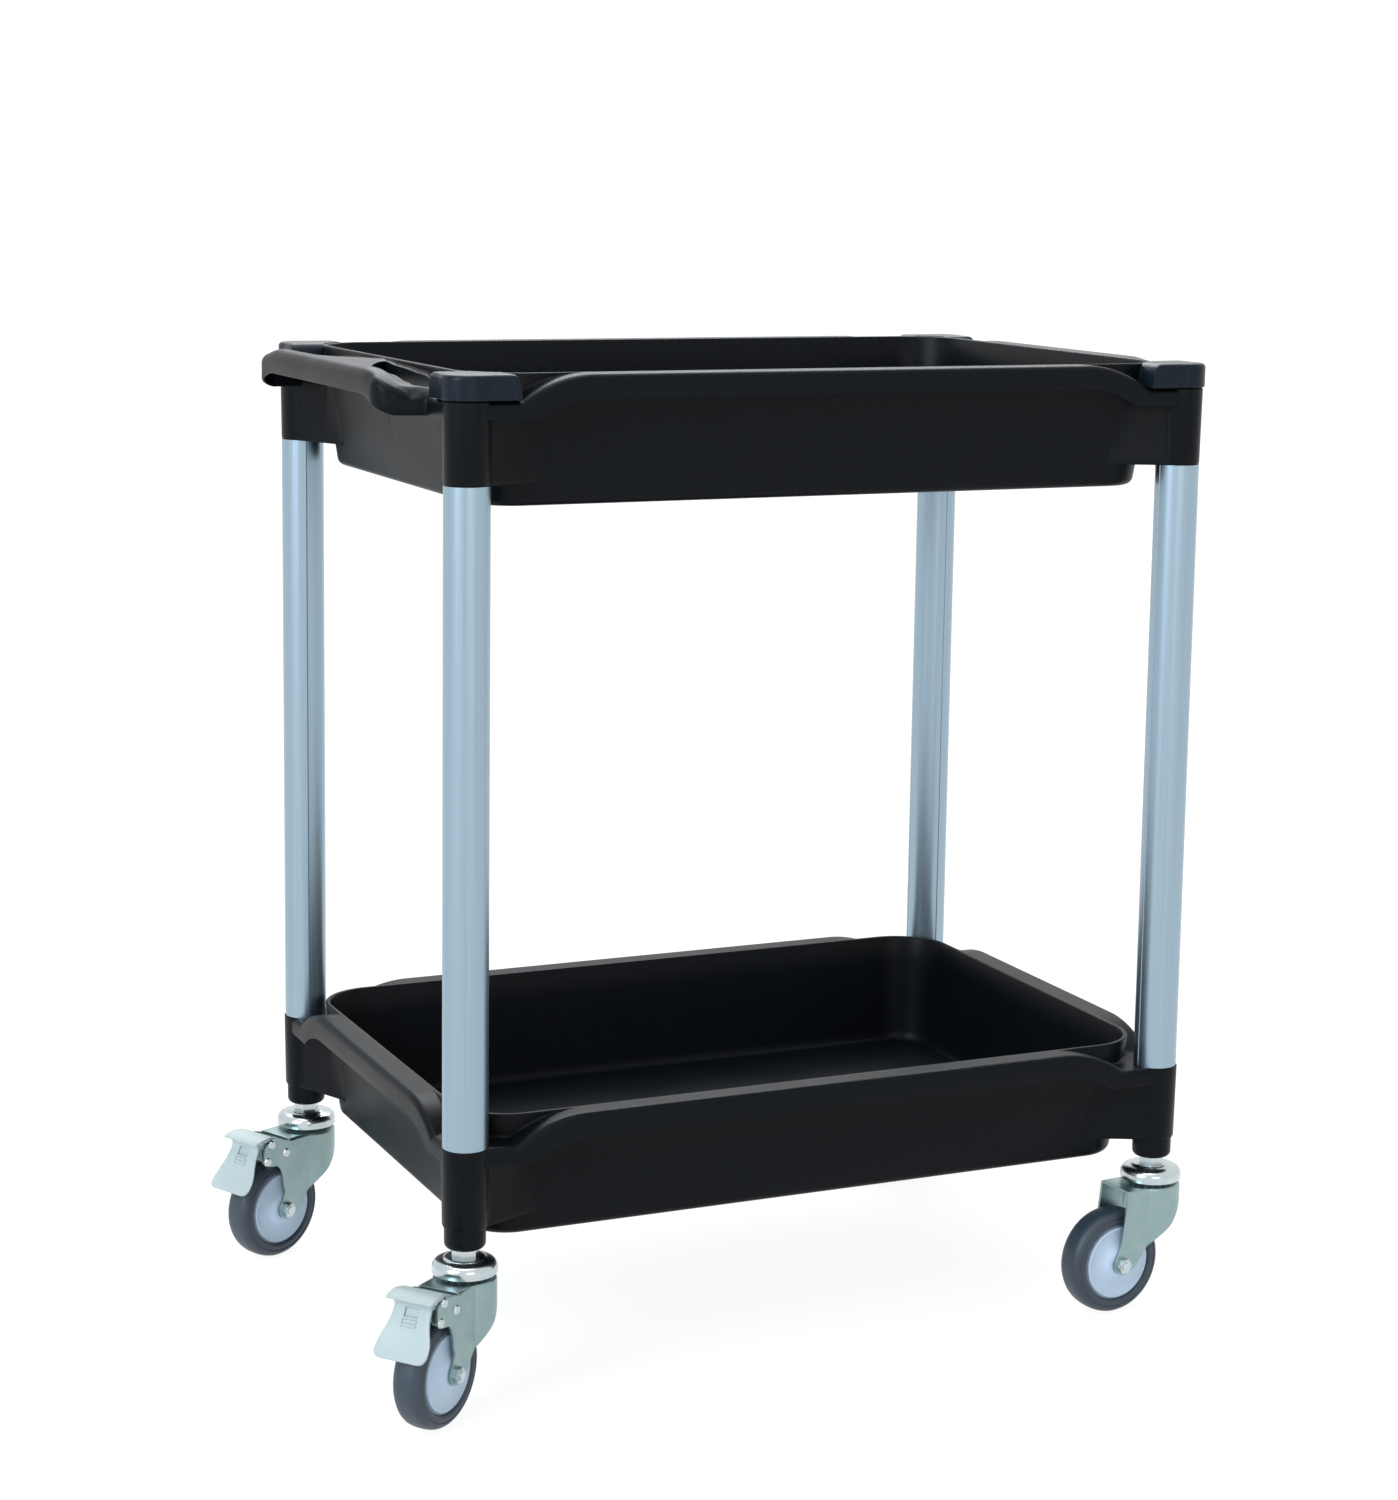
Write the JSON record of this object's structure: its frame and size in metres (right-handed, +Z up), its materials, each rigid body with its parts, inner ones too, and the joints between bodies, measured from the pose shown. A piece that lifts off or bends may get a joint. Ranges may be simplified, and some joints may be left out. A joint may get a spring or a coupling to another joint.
{
  "type": "two-tier utility cart",
  "caption": "Utility cart with two deep moulded trays on round tube legs, a push handle with hand holes on the upper tray, and swivel casters, those at the handle end with foot brakes.",
  "frame": {"origin": "middle of the whole outline at floor level", "axes": "+X along the cart, away from the handle; +Y across the cart; +Z up"},
  "size_m": [0.8301, 0.5728, 0.8995],
  "materials": {
    "tray_plastic": "satin, fine grain",
    "cap_plastic": "satin",
    "tube_aluminium": "satin anodised",
    "zinc_steel": "bright zinc plated",
    "bolt_steel": "bright zinc plated",
    "ball_steel": "polished",
    "tyre_rubber": "matte",
    "hub_plastic": "satin",
    "cover_plastic": "satin",
    "pedal_plastic": "satin",
    "insert_plastic": "matte"
  },
  "bodies": {
    "cart": {"upper_tray": "tray_plastic", "lower_tray": "tray_plastic", "upper_inserts": "insert_plastic", "lower_inserts": "insert_plastic", "cap_bolts": "zinc_steel", "caster_stems": "zinc_steel", "tube_front_left": "tube_aluminium", "cap_front_left": "cap_plastic", "swivel_head_front_left": "zinc_steel", "tube_front_right": "tube_aluminium", "cap_front_right": "cap_plastic", "swivel_head_front_right": "zinc_steel", "tube_back_left": "tube_aluminium", "cap_back_left": "cap_plastic", "swivel_head_back_left": "zinc_steel", "tube_back_right": "tube_aluminium", "cap_back_right": "cap_plastic", "swivel_head_back_right": "zinc_steel"},
    "swivel_front_left": {"fork_front_left": "zinc_steel", "bearing_balls_front_left": "ball_steel", "axle_bolt_front_left": "bolt_steel", "axle_nut_front_left": "bolt_steel", "axle_sleeve_front_left": "zinc_steel", "fork_rivets_front_left": "bolt_steel"},
    "wheel_front_left": {"tyre_front_left": "tyre_rubber", "hub_front_left": "hub_plastic", "hub_covers_front_left": "cover_plastic"},
    "pedal_front_left": {"pedal_front_left": "pedal_plastic", "brake_cam_front_left": "zinc_steel"},
    "swivel_front_right": {"fork_front_right": "zinc_steel", "bearing_balls_front_right": "ball_steel", "axle_bolt_front_right": "bolt_steel", "axle_nut_front_right": "bolt_steel", "axle_sleeve_front_right": "zinc_steel"},
    "wheel_front_right": {"tyre_front_right": "tyre_rubber", "hub_front_right": "hub_plastic", "hub_covers_front_right": "cover_plastic"},
    "swivel_back_left": {"fork_back_left": "zinc_steel", "bearing_balls_back_left": "ball_steel", "axle_bolt_back_left": "bolt_steel", "axle_nut_back_left": "bolt_steel", "axle_sleeve_back_left": "zinc_steel", "fork_rivets_back_left": "bolt_steel"},
    "wheel_back_left": {"tyre_back_left": "tyre_rubber", "hub_back_left": "hub_plastic", "hub_covers_back_left": "cover_plastic"},
    "pedal_back_left": {"pedal_back_left": "pedal_plastic", "brake_cam_back_left": "zinc_steel"},
    "swivel_back_right": {"fork_back_right": "zinc_steel", "bearing_balls_back_right": "ball_steel", "axle_bolt_back_right": "bolt_steel", "axle_nut_back_right": "bolt_steel", "axle_sleeve_back_right": "zinc_steel"},
    "wheel_back_right": {"tyre_back_right": "tyre_rubber", "hub_back_right": "hub_plastic", "hub_covers_back_right": "cover_plastic"}
  },
  "joints": [
    {"name": "swivel_turn_front_left", "type": "hinge", "parent": "cart", "child": "swivel_front_left", "pos_m": [-0.3115, -0.2015, 0.121], "axis": [0, 0, 1], "continuous": true},
    {"name": "wheel_spin_front_left", "type": "hinge", "parent": "swivel_front_left", "child": "wheel_front_left", "pos_m": [-0.34831, -0.22975, 0.05], "axis": [0.6088, -0.7934, 0], "continuous": true},
    {"name": "brake_press_front_left", "type": "hinge", "parent": "swivel_front_left", "child": "pedal_front_left", "pos_m": [-0.36386, -0.24168, 0.12], "axis": [0.6088, -0.7934, 0], "range_deg": [0, 9]},
    {"name": "swivel_turn_front_right", "type": "hinge", "parent": "cart", "child": "swivel_front_right", "pos_m": [0.3835, -0.2015, 0.121], "axis": [0, 0, 1], "continuous": true},
    {"name": "wheel_spin_front_right", "type": "hinge", "parent": "swivel_front_right", "child": "wheel_front_right", "pos_m": [0.33735, -0.20635, 0.05], "axis": [0.1045, -0.9945, 0], "continuous": true},
    {"name": "swivel_turn_back_left", "type": "hinge", "parent": "cart", "child": "swivel_back_left", "pos_m": [-0.3115, 0.2585, 0.121], "axis": [0, 0, 1], "continuous": true},
    {"name": "wheel_spin_back_left", "type": "hinge", "parent": "swivel_back_left", "child": "wheel_back_left", "pos_m": [-0.35328, 0.2383, 0.05], "axis": [0.4352, -0.9003, 0], "continuous": true},
    {"name": "brake_press_back_left", "type": "hinge", "parent": "swivel_back_left", "child": "pedal_back_left", "pos_m": [-0.37092, 0.22978, 0.12], "axis": [0.4352, -0.9003, 0], "range_deg": [0, 9]},
    {"name": "swivel_turn_back_right", "type": "hinge", "parent": "cart", "child": "swivel_back_right", "pos_m": [0.3835, 0.2585, 0.121], "axis": [0, 0, 1], "continuous": true},
    {"name": "wheel_spin_back_right", "type": "hinge", "parent": "swivel_back_right", "child": "wheel_back_right", "pos_m": [0.33868, 0.24649, 0.05], "axis": [0.2588, -0.9659, 0], "continuous": true}
  ]
}
